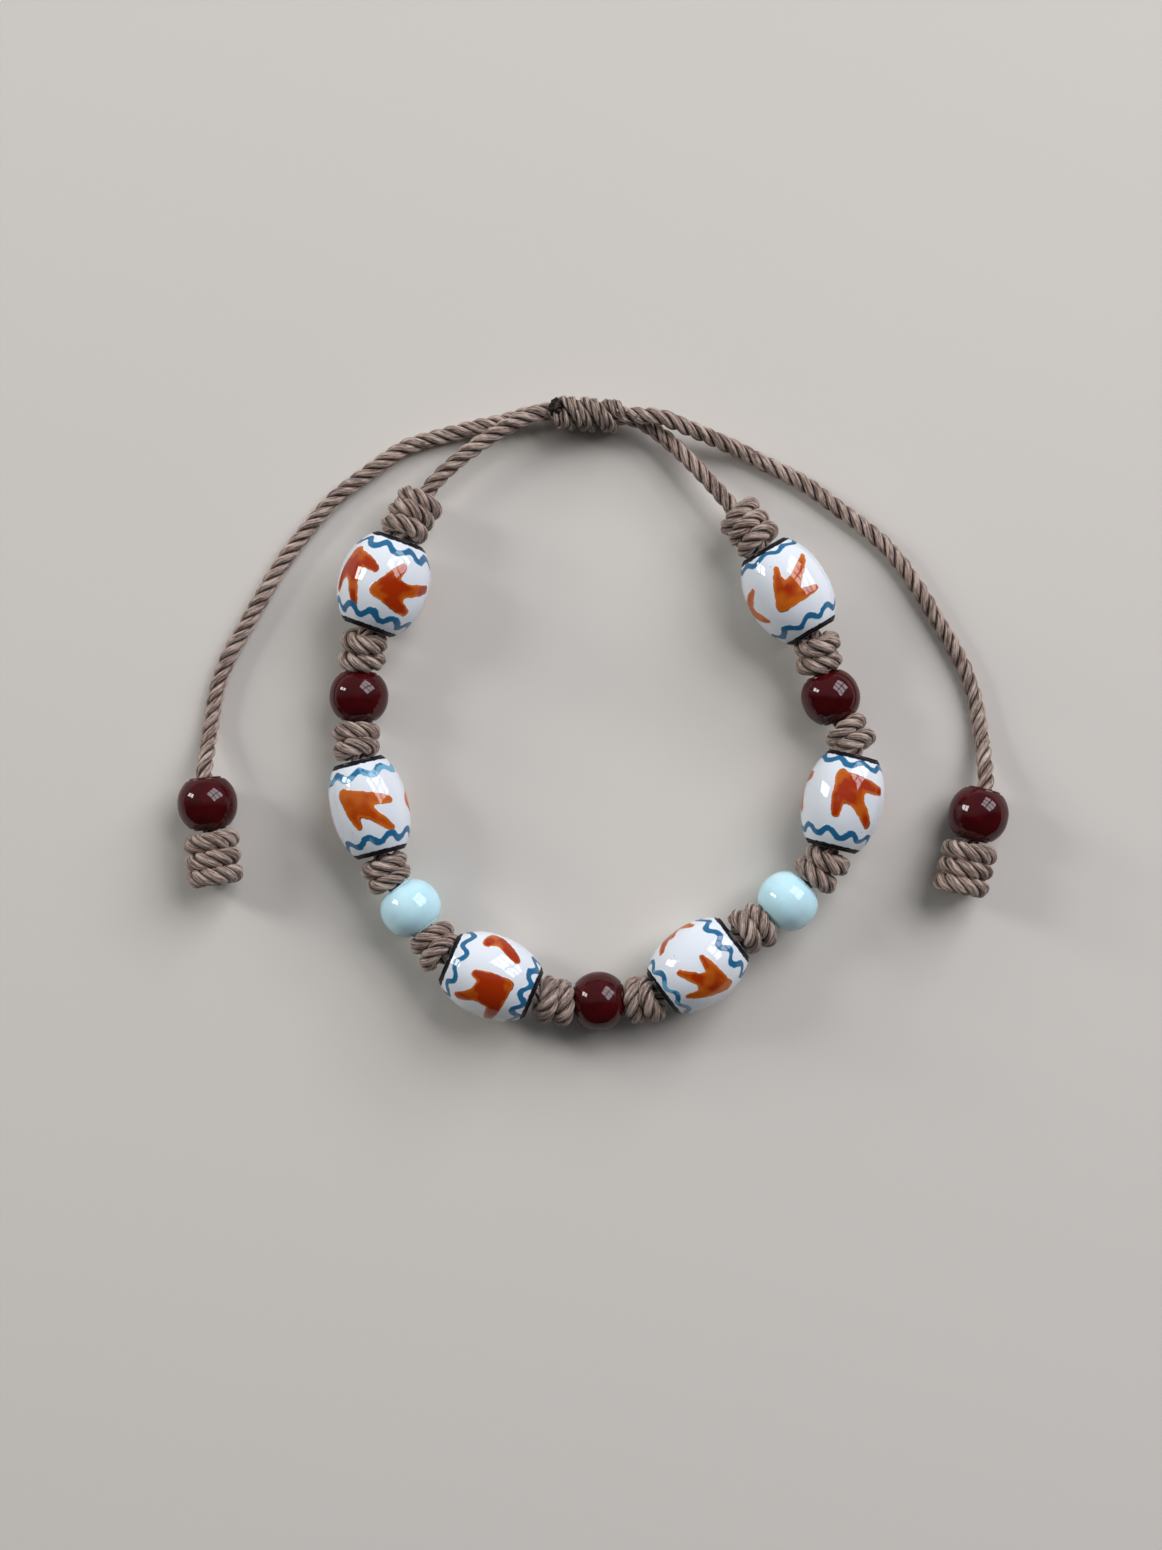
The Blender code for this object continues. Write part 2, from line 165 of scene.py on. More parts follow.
def end_faces(node):
    """The two flat ends of a bead or knot: the middle of each, in mm, and the way it faces."""
    flats = []
    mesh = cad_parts[node].data
    for face in mesh.polygons:
        if abs(face.normal.z) > UPRIGHT:
            continue
        depth = face.normal.dot(face.center)
        for flat in flats:
            apart = abs(flat["depth"] - depth)
            if flat["way"].dot(face.normal) > SAME_WAY and apart < SAME_DEPTH * MM:
                break
        else:
            flat = {"way": face.normal.copy(), "depth": depth, "area": 0.0, "sum": Vector()}
            flats.append(flat)
        flat["area"] += face.area
        flat["sum"] += face.center * face.area
    flats.sort(key=lambda flat: -flat["area"])
    corners = [vertex.co for vertex in mesh.vertices]
    flats = [flat for flat in flats[:LARGEST_FLATS]
             if max(flat["way"].dot(corner) for corner in corners)
             < flat["depth"] + CORNERS_BEYOND * MM]
    return [(flat["sum"] / flat["area"] / MM, flat["way"]) for flat in flats[:2]]


def bend(start, start_way, end, end_way, start_handle, end_handle, count):
    """Points of a smooth stretch that leaves and arrives in given directions."""
    first = start + start_way * start_handle
    second = end - end_way * end_handle
    points = []
    for i in range(count + 1):
        t = i / count
        u = 1.0 - t
        points.append(start * u**3 + first * 3 * u * u * t + second * 3 * u * t * t + end * t**3)
    return points


def axis_points(stretch, count):
    """Points along the axis of a piece."""
    handle = (stretch.end - stretch.start).length / 3
    ways = (stretch.start, stretch.first_way, stretch.end, stretch.last_way)
    return bend(*ways, handle, handle, count)


def read_stretch(node, before):
    """A piece's stretch of the string; its start is the end nearest to the point before it."""
    near, far = sorted(end_faces(node), key=lambda end: (end[0] - before).length)
    stretch = Stretch(near[0], far[0], -near[1], far[1], 0.0)
    axis = np.array(axis_points(stretch, AXIS_STEPS))
    corners = np.array([vertex.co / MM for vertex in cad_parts[node].data.vertices])
    apart = np.linalg.norm(corners[:, None, :] - axis[None, :, :], axis=2).min(axis=1)
    return stretch._replace(reach=float(apart.max()))


def smooth_curve(points, step):
    """Points at an even step on the natural cubic spline through the route's own points."""
    knots = np.array([tuple(p) for p in points])
    reach = np.concatenate([[0.0], np.cumsum(np.linalg.norm(np.diff(knots, axis=0), axis=1))])
    gaps = np.diff(reach)
    count = len(knots)
    system = np.eye(count)
    sides = np.zeros((count, 3))
    for i in range(1, count - 1):
        system[i, i - 1:i + 2] = gaps[i - 1], 2 * (gaps[i - 1] + gaps[i]), gaps[i]
        after = (knots[i + 1] - knots[i]) / gaps[i]
        before = (knots[i] - knots[i - 1]) / gaps[i - 1]
        sides[i] = 6 * (after - before)
    bends = np.linalg.solve(system, sides)
    curve = []
    for along in np.linspace(0.0, reach[-1], round(reach[-1] / step) + 1):
        i = min(int(np.searchsorted(reach, along, side="right")) - 1, count - 2)
        a, b, h = reach[i + 1] - along, along - reach[i], gaps[i]
        point = (bends[i] * a**3 + bends[i + 1] * b**3) / (6 * h)
        point = point + (knots[i] / h - bends[i] * h / 6) * a
        point = point + (knots[i + 1] / h - bends[i + 1] * h / 6) * b
        curve.append(Vector(point))
    return curve


def path_length(points):
    return sum((b - a).length for a, b in zip(points, points[1:]))


# Building node trees


def put(tree, kind, inputs=None, **settings):
    """Add a node; inputs maps a socket's number or identifier to a value or to another output."""
    node = tree.nodes.new(kind)
    for name, value in settings.items():
        setattr(node, name, value)
    sockets = {socket.identifier: socket for socket in node.inputs}
    for key, value in (inputs or {}).items():
        socket = node.inputs[key] if isinstance(key, int) else sockets[key]
        if isinstance(value, bpy.types.NodeSocket):
            tree.links.new(value, socket)
        else:
            socket.default_value = value
    return node


def calc(tree, operation, a, b=0.0, c=0.0, clamp=False):
    inputs = {0: a, 1: b, 2: c}
    return put(tree, "ShaderNodeMath", inputs, operation=operation, use_clamp=clamp).outputs[0]


def vector_calc(tree, operation, a, b, out="Vector"):
    return put(tree, "ShaderNodeVectorMath", {0: a, 1: b}, operation=operation).outputs[out]


def scaled(tree, vector, factor):
    node = put(tree, "ShaderNodeVectorMath", {0: vector, "Scale": factor}, operation="SCALE")
    return node.outputs["Vector"]


def combine(tree, x, y, z):
    return put(tree, "ShaderNodeCombineXYZ", {0: x, 1: y, 2: z}).outputs[0]


def ramp(tree, value, low, high, out_low=0.0, out_high=1.0, smooth=True):
    """Value carried from low..high to out_low..out_high, and held beyond."""
    inputs = {0: value, 1: low, 2: high, 3: out_low, 4: out_high}
    kind = "SMOOTHSTEP" if smooth else "LINEAR"
    return put(tree, "ShaderNodeMapRange", inputs, interpolation_type=kind).outputs[0]


def mix(tree, factor, a, b, blend="MIX"):
    inputs = {"Factor_Float": factor, "A_Color": a, "B_Color": b}
    return put(tree, "ShaderNodeMix", inputs, data_type="RGBA", blend_type=blend).outputs[2]


def speckle(tree, vector, scale, detail, roughness=0.5):
    """Soft noise from nought to one."""
    inputs = {"Vector": vector, "Scale": scale, "Detail": detail, "Roughness": roughness}
    return put(tree, "ShaderNodeTexNoise", inputs).outputs["Fac"]


def new_group(name, kind, sockets, outputs):
    """An empty node group with named inputs and outputs, and its two end nodes."""
    group = bpy.data.node_groups.new(name, kind)
    for label, socket_type, start in sockets:
        socket = group.interface.new_socket(label, in_out="INPUT", socket_type=socket_type)
        if start is not None:
            socket.default_value = start
    for label, socket_type in outputs:
        group.interface.new_socket(label, in_out="OUTPUT", socket_type=socket_type)
    given = group.nodes.new("NodeGroupInput").outputs
    result = group.nodes.new("NodeGroupOutput").inputs
    return group, given, result


# The cord's own tree


def store(tree, geometry, name, value, data_type):
    """Keep a value on the mesh's points under a name that a finish can read."""
    node = put(tree, "GeometryNodeStoreNamedAttribute", {"Geometry": geometry, "Name": name},
               data_type=data_type, domain="POINT")
    socket = [socket for socket in node.inputs if socket.name == "Value" and socket.enabled][0]
    tree.links.new(value, socket)
    return node.outputs[0]


def keep(tree, geometry, kind, name, value):
    """Geometry that carries a value along, and the value as it was there."""
    node = put(tree, "GeometryNodeCaptureAttribute", {0: geometry})
    node.capture_items.new(kind, name)
    tree.links.new(value, node.inputs[1])
    return node.outputs[0], node.outputs[1]


def even_path(tree, given):
    """The path at even steps, with its normals level on the table or free of twist in a knot."""
    line = put(tree, "GeometryNodeMeshToCurve", {0: given["Path"]}).outputs[0]
    line = put(tree, "GeometryNodeResampleCurve", {"Curve": line, "Length": given["Step"]},
               mode="LENGTH").outputs[0]
    level = put(tree, "GeometryNodeSetCurveNormal", {0: line}, mode="Z_UP").outputs[0]
    free = put(tree, "GeometryNodeSetCurveNormal", {0: line}, mode="MINIMUM_TWIST").outputs[0]
    return put(tree, "GeometryNodeSwitch", {0: given["Lies Level"], 1: free, 2: level},
               input_type="GEOMETRY").outputs[0]


def twisted_plies(tree, given, line):
    """A copy of the line for each ply, wound round it, and the line's own places."""
    copies = put(tree, "GeometryNodeDuplicateElements", {0: line, 2: given["Plies"]},
                 domain="SPLINE")
    along = put(tree, "GeometryNodeSplineParameter").outputs["Length"]
    normal = put(tree, "GeometryNodeInputNormal").outputs["Normal"]
    tangent = put(tree, "GeometryNodeInputTangent").outputs[0]
    turns = calc(tree, "DIVIDE", along, given["Lay"])
    turns = calc(tree, "ADD", turns, calc(tree, "DIVIDE", copies.outputs[1], given["Plies"]))
    angle = calc(tree, "MULTIPLY_ADD", turns, math.tau, given["Phase"])
    across = scaled(tree, normal, calc(tree, "COSINE", angle))
    binormal = vector_calc(tree, "CROSS_PRODUCT", tangent, normal)
    around = vector_calc(tree, "ADD", across, scaled(tree, binormal, calc(tree, "SINE", angle)))
    place = put(tree, "GeometryNodeInputPosition").outputs[0]
    plies, core = keep(tree, copies.outputs[0], "VECTOR", "Core", place)
    moved = put(tree, "GeometryNodeSetPosition",
                {0: plies, 3: scaled(tree, around, given["Twist Radius"])})
    return moved.outputs[0], core


def ply_skin(tree, given, plies, core):
    """A slightly uneven round skin on each ply, with its fibres' places and its depth."""
    along = put(tree, "GeometryNodeSplineParameter").outputs["Length"]
    plies, along = keep(tree, plies, "FLOAT", "Along", along)
    ring = put(tree, "GeometryNodeCurvePrimitiveCircle",
               {"Resolution": given["Ply Sides"], "Radius": given["Ply Radius"]}).outputs[0]
    turn = put(tree, "GeometryNodeSplineParameter").outputs["Factor"]
    ring, turn = keep(tree, ring, "FLOAT", "Round", turn)

    place = put(tree, "GeometryNodeInputPosition").outputs[0]
    lumps = calc(tree, "SUBTRACT", speckle(tree, place, PLY_LUMPS, 1.0), 0.5)
    thickness = calc(tree, "MULTIPLY_ADD", lumps, given["Unevenness"], 1.0)
    skin = put(tree, "GeometryNodeCurveToMesh",
               {0: plies, 1: ring, "Scale": thickness, "Fill Caps": True}).outputs[0]

    turn = calc(tree, "MULTIPLY", turn, math.tau)
    turn = calc(tree, "MULTIPLY_ADD", along, -FIBRE_TURN / MM, turn)
    fibre = combine(tree, calc(tree, "COSINE", turn), calc(tree, "SINE", turn),
                    calc(tree, "DIVIDE", along, MM))
    skin = store(tree, skin, "fibre", fibre, "FLOAT_VECTOR")
    out = vector_calc(tree, "DISTANCE", place, core, out="Value")
    outer = calc(tree, "ADD", given["Twist Radius"], given["Ply Radius"])
    return store(tree, skin, "depth", calc(tree, "DIVIDE", out, outer), "FLOAT")


def laid_cord_tree():
    """Lays plies round a path. Each ply keeps its fibres' places for the finish to read."""
    sockets = (
        ("Path", "NodeSocketGeometry", None),
        ("Plies", "NodeSocketInt", 3),
        ("Ply Radius", "NodeSocketFloat", PLY_RADIUS * MM),
        ("Twist Radius", "NodeSocketFloat", TWIST_RADIUS * MM),
        ("Lay", "NodeSocketFloat", CORD_LAY * MM),
        ("Phase", "NodeSocketFloat", 0.0),
        ("Ply Sides", "NodeSocketInt", 12),
        ("Step", "NodeSocketFloat", 0.28 * MM),
        ("Unevenness", "NodeSocketFloat", 0.14),
        ("Lies Level", "NodeSocketBool", True),
        ("Finish", "NodeSocketMaterial", None),
    )
    tree, given, result = new_group(
        "laid_cord", "GeometryNodeTree", sockets, [("Cord", "NodeSocketGeometry")])
    plies, core = twisted_plies(tree, given, even_path(tree, given))
    skin = ply_skin(tree, given, plies, core)
    skin = put(tree, "GeometryNodeSetShadeSmooth", {0: skin}).outputs[0]
    skin = put(tree, "GeometryNodeRealizeInstances", {0: skin}).outputs[0]
    skin = put(tree, "GeometryNodeSetMaterial", {0: skin, 2: given["Finish"]}).outputs[0]
    tree.links.new(skin, result[0])


def set_sizes(modifier, sizes):
    """Set a tree's named inputs, each by its socket's identifier."""
    for item in modifier.node_group.interface.items_tree:
        if item.item_type == "SOCKET" and item.in_out == "INPUT" and item.name in sizes:
            modifier[item.identifier] = sizes[item.name]


def link(piece):
    bpy.context.scene.collection.objects.link(piece)
    return piece


def lay_cord(name, path, **sizes):
    """Laid cord along a path, made by the tree and kept as a plain mesh."""
    line = bpy.data.meshes.new(name + "_path")
    line.from_pydata([tuple(p * MM) for p in path], [(i, i + 1) for i in range(len(path) - 1)], [])
    guide = link(bpy.data.objects.new(name + "_path", line))
    modifier = guide.modifiers.new("laid cord", "NODES")
    modifier.node_group = bpy.data.node_groups["laid_cord"]
    set_sizes(modifier, {"Finish": bpy.data.materials["cord_fibres"], **sizes})
    graph = bpy.context.evaluated_depsgraph_get()
    made = bpy.data.meshes.new_from_object(
        guide.evaluated_get(graph), preserve_all_data_layers=True, depsgraph=graph)
    made.name = name
    bpy.data.objects.remove(guide)
    return link(bpy.data.objects.new(name, made))


def stand_for(piece, slot, *nodes):
    """Every piece rides on the one body and stands for its solids of the frame."""
    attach(piece, "root")
    if nodes:
        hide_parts(*nodes)
    return piece


# Cords


def mouth_point(mouth, strand_side, beyond):
    middle, way = mouth
    return middle + way * beyond + UP * MOUTH_RISE * strand_side


def loop_path(mouths, stretches):
    """In over the sliding knot, round through every piece and out under it."""
    left, right = mouths
    first, last = stretches[LOOP_ORDER[0]], stretches[LOOP_ORDER[-1]]
    path = [mouth_point(right, 1, TAIL_START - CORD_GAP), mouth_point(right, 1, 0.0)]
    path += bend(mouth_point(left, 1, 0.0), left[1], first.start, first.first_way,
                 MOUTH_HANDLE, KNOT_HANDLE, BARE_STEPS)
    for name in LOOP_ORDER:
        path += axis_points(stretches[name], CORD_STEPS)
    path += bend(last.end, last.last_way, mouth_point(right, -1, 0.0), -right[1],
                 KNOT_HANDLE, MOUTH_HANDLE, BARE_STEPS)
    path += [mouth_point(left, -1, 0.0), mouth_point(left, -1, TAIL_START - CORD_GAP)]
    return path


def tail_path(mouth, strand_side, route, bead, knot):
    """From the sliding knot along the route, through the bead and into the end knot."""
    start = mouth_point(mouth, strand_side, TAIL_START)
    points = [start, start + mouth[1] * CORD_DIAMETER / 2, *(Vector(p) for p in route)]
    points.append(bead.start - bead.first_way * CORD_DIAMETER / 4)
    points.append((bead.start + bead.end) / 2)
    points.append(knot.end - knot.last_way * END_KNOT_INSET)
    return smooth_curve(points, PATH_STEP)


def add_cords(mouths, stretches):
    """The loop's cord and both tails, with the twist running on from one to the next."""
    left, right = mouths
    path = loop_path(mouths, stretches)
    loop = lay_cord("loop_cord", path, Phase=0.0)
    stand_for(loop, "waxed_cord", "bead_cord")
    carried = path_length(path) / CORD_LAY * math.tau
    tails = (("left", left, -1, LEFT_TAIL_ROUTE, carried),
             ("right", right, 1, RIGHT_TAIL_ROUTE, math.pi))
    for side, mouth, strand_side, route, phase in tails:
        bead, knot = stretches["tail_bead_" + side], stretches["end_knot_" + side]
        path = tail_path(mouth, strand_side, route, bead, knot)
        tail = lay_cord("tail_" + side, path, Phase=phase)
        stand_for(tail, "waxed_cord", "tail_cord_" + side)
        yield side, tail, path


# Knots


def ease(share):
    share = min(1.0, max(0.0, share))
    return share * share * (3 - 2 * share)


def wrap_path(stretch, rows, cord_radius, seed):
    """The cord's way round a knot: rows square to the string that step over underneath."""
    axis = axis_points(stretch, WRAP_AXIS_STEPS)
    middle_radius = stretch.reach - cord_radius
    core_radius = CORD_DIAMETER / 2 + cord_radius * CORE_SQUASH
    length = (stretch.end - stretch.start).length
    points = []
    count = rows * POINTS_A_ROW
    for i in range(count + 1):
        turn = rows * i / count
        row = sum(ease((turn - k) / STEP_OVER + 0.5) for k in range(1, rows))
        inside = cord_radius / length
        share = inside + (1 - 2 * inside) * (row / (rows - 1))
        angle = math.tau * turn
        wobble = noise.noise(Vector((turn * 1.7, seed * 3.1, 0.5)))
        share += (ROW_LEAN * math.sin(angle) + ROW_WANDER * wobble) / length
        tuck = ease(turn / TUCK) * ease((rows - turn) / TUCK)
        radius = core_radius + (middle_radius - core_radius) * tuck + ROW_SLACK * wobble
        place = min(max(share, 0.0), 1.0) * (len(axis) - 1)
        low = min(int(place), len(axis) - 2)
        centre = axis[low].lerp(axis[low + 1], place - low)
        way = (axis[low + 1] - axis[low]).normalized()
        side = UP.cross(way).normalized()
        up = way.cross(side)
        points.append(centre + (side * math.sin(-angle) - up * math.cos(angle)) * radius)
    return points


def add_knot(name, node, stretch, rows, seed):
    length = (stretch.end - stretch.start).length
    cord_radius = min(THICKEST_WRAP, length / rows / 2 + 0.1)
    path = wrap_path(stretch, rows, cord_radius, seed)
    share = cord_radius / (PLY_RADIUS + TWIST_RADIUS)
    sizes = {"Ply Radius": PLY_RADIUS * share * MM, "Twist Radius": TWIST_RADIUS * share * MM,
             "Lay": KNOT_LAY * MM, "Phase": seed * 1.3, "Lies Level": False}
    return stand_for(lay_cord(name, path, **sizes), "waxed_cord", node)


def add_sliding_knot(mouths):
    """Two thin strands side by side, wrapped slantwise round both cords in three lobes."""
    start = mouths[0][0]
    way = (mouths[1][0] - start).normalized()
    back = UP.cross(way)
    strands = []
    for number in (1, 2):
        path = []
        for i in range(STRAND_POINTS + 1):
            share = i / STRAND_POINTS
            turned = WRAP_START + 360.0 * WRAP_TURNS * share
            angle = math.radians(turned)
            along = FIRST_LOBE + LOBE_STEP * (turned - 180.0) / 360.0
            along += STRANDS_APART * (number - 1.5) - WRAP_LEAN * (math.cos(angle) + 1.0)
            tuck = ease(share / END_TUCK) * ease((1.0 - share) / END_TUCK)
            loose = noise.noise(Vector((turned / 110.0, number * 4.0, 0.7)))
            radius = WRAP_RADIUS - END_DIVE * (1.0 - tuck) + STRAND_SLACK * loose
            radius += LOBE_SLACK * max(0.0, -math.cos(angle))
            over = math.tanh(CORNER_SHARPNESS * math.sin(angle))
            rise = MOUTH_RISE * over + radius * math.sin(angle)
            path.append(start + way * along + back * radius * math.cos(angle) + UP * rise)
        sizes = {"Ply Radius": STRAND_PLY * MM, "Twist Radius": STRAND_TWIST * MM,
                 "Lay": STRAND_LAY * MM, "Phase": number * 1.4, "Lies Level": False}
        strands.append(lay_cord(f"wrapping_strand_{number}", path, **sizes))
    wraps = join("sliding_knot_wraps", strands)
    return stand_for(wraps, "waxed_cord", "sliding_knot")


def join(name, pieces):
    """Several meshes as one piece."""
    merged = bmesh.new()
    for piece in pieces:
        merged.from_mesh(piece.data)
    data = pieces[0].data
    merged.to_mesh(data)
    merged.free()
    for piece in pieces[1:]:
        bpy.data.objects.remove(piece)
    data.name = name
    pieces[0].name = name
    return pieces[0]


def add_melted_end():
    """The scorched, melted end of the wrapping strand, on the sliding knot's left shoulder."""
    lump = bmesh.new()
    bmesh.ops.create_icosphere(lump, subdivisions=4, radius=1.0)
    for vertex in lump.verts:
        rough = 1.0 + 0.35 * noise.noise(vertex.co * 1.7) + 0.12 * noise.noise(vertex.co * 5.0)
        shape = vertex.co * Vector(MELTED_END_SHAPE) * rough
        vertex.co = (Vector(MELTED_END) + shape) * MM
    data = bpy.data.meshes.new("melted_end")
    lump.to_mesh(data)
    lump.free()
    data.shade_smooth()
    data.materials.append(bpy.data.materials["melted_cord"])
    return stand_for(link(bpy.data.objects.new("melted_end", data)), "waxed_cord")


# Beads

BARREL_END_RADIUS = 2.9
ROUND_END_RADIUS = 1.85
BORE_RADIUS = 1.3
BEAD_SIDES = 72
BEAD_RINGS = 44
BELLY_SHARE = 0.05  # the middle of a bead's length that is at its full width
RIM_ROUND = 0.28
RIM_PROUD = 0.12  # the rounded rim reaches this far outside the flat end
HOLE_ROUND = 0.2
RIM_STEPS = 6
HOLE_STEPS = 4
LUMPINESS = 0.016  # share of a bead's radius
FIRST_ROUND_SEED = 10
TAIL_SEEDS = {"left": 20, "right": 21}
INSIDE_BORE = 1.0  # deeper than this from the rim, the bore is smooth and bare
ABOVE_TABLE = 0.02


def bead_outline(length, radius, end_radius):
    """A bead's outline from end to end: place along the axis, radius, and way from the rim."""
    half = length / 2
    cut = math.sqrt(1.0 - (end_radius / radius) ** 2)
    outside = []
    for i in range(BEAD_RINGS + 1):
        swing = -math.cos(math.pi * i / BEAD_RINGS)
        past_belly = max(0.0, abs(swing) - BELLY_SHARE) / (1.0 - BELLY_SHARE)
        outside.append((swing * half, radius * math.sqrt(1.0 - (cut * past_belly) ** 2)))
    outside = [p for p in outside if abs(p[0]) < half - RIM_ROUND * 0.8]
    rim = []
    for i in range(RIM_STEPS + 1):
        angle = math.pi / 2 * i / RIM_STEPS
        drop = RIM_ROUND * (1 - math.cos(angle))
        rim.append((half - RIM_ROUND * (1 - math.sin(angle)), end_radius + RIM_PROUD - drop))
    hole = []
    for i in range(HOLE_STEPS + 1):
        angle = math.pi / 2 * i / HOLE_STEPS
        hole.append((half - HOLE_ROUND * (1 - math.cos(angle)),
                     BORE_RADIUS + HOLE_ROUND * (1 - math.sin(angle))))
    face = [(half, end_radius * 0.72 + BORE_RADIUS * 0.28)]
    end = rim + face + hole
    start = [(-along, r) for along, r in reversed(end)]
    outline = start + outside + end
    rim_at = half - RIM_ROUND / 2
    marked = []
    for along, r in outline:
        on_face = 0.0
        if abs(along) > rim_at:
            on_face = max(0.0, end_radius + RIM_PROUD - RIM_ROUND / 2 - r)
        marked.append((along, r, rim_at - abs(along) - on_face))
    return marked


def add_bead(name, node, stretch, end_radius, finish, slot, seed):
    """A turned bead, slightly uneven as hand-rolled clay is, with its paint's places."""
    way = (stretch.end - stretch.start).normalized()
    side = UP.cross(way).normalized()
    up = way.cross(side)
    middle = (stretch.start + stretch.end) / 2
    length = (stretch.end - stretch.start).length
    outline = bead_outline(length, stretch.reach, end_radius)
    body = bmesh.new()
    loops = []
    for along, radius, rim in outline:
        loop = []
        for k in range(BEAD_SIDES):
            angle = math.tau * k / BEAD_SIDES - math.pi
            out = up * math.cos(angle) + side * math.sin(angle)
            lumpy = noise.noise(out * 0.9 + way * along * 0.16 + Vector((seed * 7.3, 0, 0)))
            here = radius * (1.0 + LUMPINESS * lumpy) if rim > -INSIDE_BORE else radius
            point = middle + way * along + out * here
            point.z = max(point.z, ABOVE_TABLE)
            loop.append(body.verts.new(point * MM))
        loops.append(loop)
    places = body.loops.layers.float_vector.new("paint")
    count = len(loops)
    for i in range(count):
        here, there = loops[i], loops[(i + 1) % count]
        for k in range(BEAD_SIDES):
            after = (k + 1) % BEAD_SIDES
            face = body.faces.new((here[k], there[k], there[after], here[after]))
            rows = (i, (i + 1) % count, (i + 1) % count, i)
            turns = (k, k, k + 1, k + 1)
            for corner, row, turn in zip(face.loops, rows, turns):
                around = (math.tau * turn / BEAD_SIDES - math.pi) * stretch.reach
                corner[places] = (around, outline[row][0], outline[row][2])
    bmesh.ops.recalc_face_normals(body, faces=body.faces)
    data = bpy.data.meshes.new(name)
    body.to_mesh(data)
    body.free()
    data.shade_smooth()
    data.materials.append(finish)
    return stand_for(link(bpy.data.objects.new(name, data)), slot, node)


# Finishes

CORD_DARK = (0.135, 0.088, 0.068, 1)
CORD_PALE = (0.64, 0.515, 0.44, 1)
# painted shade: the near-black that the cord's grooves between plies are darkened to
GROOVE_SHADE = (0.020, 0.011, 0.008, 1)
SCORCHED = (0.002, 0.001, 0.001, 1)
BLISTER = (0.03, 0.018, 0.015, 1)
RED_GLAZE = ((0.060, 0.0024, 0.0036, 1), (0.040, 0.0016, 0.0024, 1), (0.014, 0.001, 0.001, 1))
BLUE_GLAZE = ((0.555, 0.865, 0.945, 1), (0.60, 0.89, 0.96, 1), (0.49, 0.79, 0.89, 1))


def new_finish(name, roughness, **constants):
    """A material with a shader whose constant inputs are set on its own sockets."""
    material = bpy.data.materials.new(name)
    material.use_nodes = True
    tree = material.node_tree
    shader = tree.nodes["Principled BSDF"]
    shader.inputs["Roughness"].default_value = roughness
    shader.inputs["Specular IOR Level"].default_value = 0.0
    for label, value in constants.items():
        shader.inputs[label.replace("_", " ")].default_value = value
    return material, tree, shader


def object_place(tree):
    """Object coordinates in millimetres."""
    place = put(tree, "ShaderNodeTexCoord").outputs["Object"]
    return scaled(tree, place, 1 / MM)


def bump(tree, height, depth, normal=None):
    inputs = {"Height": height, "Distance": depth * MM}
    if normal is not None:
        inputs["Normal"] = normal
    return put(tree, "ShaderNodeBump", inputs).outputs[0]


def cord_finish():
    """Waxed cotton: pale and dark fibre streaks along each ply, with painted shade that goes black
    in the grooves.
    """
    _, tree, shader = new_finish("cord_fibres", 0.62, Sheen_Weight=0.25, Sheen_Roughness=0.4,
                                 Specular_IOR_Level=0.35)
    fibre = put(tree, "ShaderNodeAttribute", attribute_name="fibre").outputs["Vector"]
    stretched = vector_calc(tree, "MULTIPLY", fibre, (1.0, 1.0, 0.3))
    fine = speckle(tree, stretched, 4.5, 2.0, 0.6)
    broad = speckle(tree, stretched, 1.7, 2.0, 0.5)
    patches = speckle(tree, object_place(tree), 0.22, 2.0, 0.5)
    streaks = calc(tree, "MULTIPLY", calc(tree, "ADD", fine, broad), 0.5)
    tone = ramp(tree, streaks, 0.38, 0.62)
    colour = mix(tree, tone, CORD_DARK, CORD_PALE)
    depth = put(tree, "ShaderNodeAttribute", attribute_name="depth").outputs["Fac"]
    # Painted shade: the colour darkens to black where a ply turns in towards the cord's middle,
    # standing in for shadow in the grooves
    colour = mix(tree, ramp(tree, depth, 0.92, 0.62), colour, GROOVE_SHADE)
    warm = mix(tree, ramp(tree, patches, 0.35, 0.65), (1.0, 0.98, 0.95, 1), (0.90, 0.84, 0.80, 1))
    colour = mix(tree, 1.0, colour, warm, "MULTIPLY")
    tree.links.new(colour, shader.inputs["Base Color"])
    tree.links.new(bump(tree, streaks, 0.26), shader.inputs["Normal"])


def scorched_finish():
    """Melted cord: black and shiny, with blisters."""
    _, tree, shader = new_finish("melted_cord", 0.5, Coat_Weight=0.5, Coat_Roughness=0.08)
    blisters = speckle(tree, object_place(tree), 1.3, 2.0, 0.55)
    colour = mix(tree, ramp(tree, blisters, 0.4, 0.75), SCORCHED, BLISTER)
    tree.links.new(colour, shader.inputs["Base Color"])
    blister_bump = bump(tree, blisters, 0.7)
    tree.links.new(blister_bump, shader.inputs["Normal"])
    tree.links.new(blister_bump, shader.inputs["Coat Normal"])


def glaze_finish(name, shine, colours):
    """Clear glaze over a colour that clouds into a second, with fine grains of a third."""
    colour, cloud, grain = colours
    material, tree, shader = new_finish(name, 0.22, Coat_Weight=shine, Coat_Roughness=0.035,
                                        Coat_IOR=1.54)
    place = object_place(tree)
    clouds = speckle(tree, place, 0.5, 3.0, 0.55)
    tone = mix(tree, ramp(tree, clouds, 0.35, 0.65), colour, cloud)
    grains = speckle(tree, place, 6.0, 2.0, 0.6)
    tone = mix(tree, ramp(tree, grains, 0.62, 0.8, 0.0, 0.35), tone, grain)
    tree.links.new(tone, shader.inputs["Base Color"])
    waves = speckle(tree, place, 0.45, 1.0, 0.4)
    tree.links.new(bump(tree, waves, 0.12), shader.inputs["Coat Normal"])
    return material


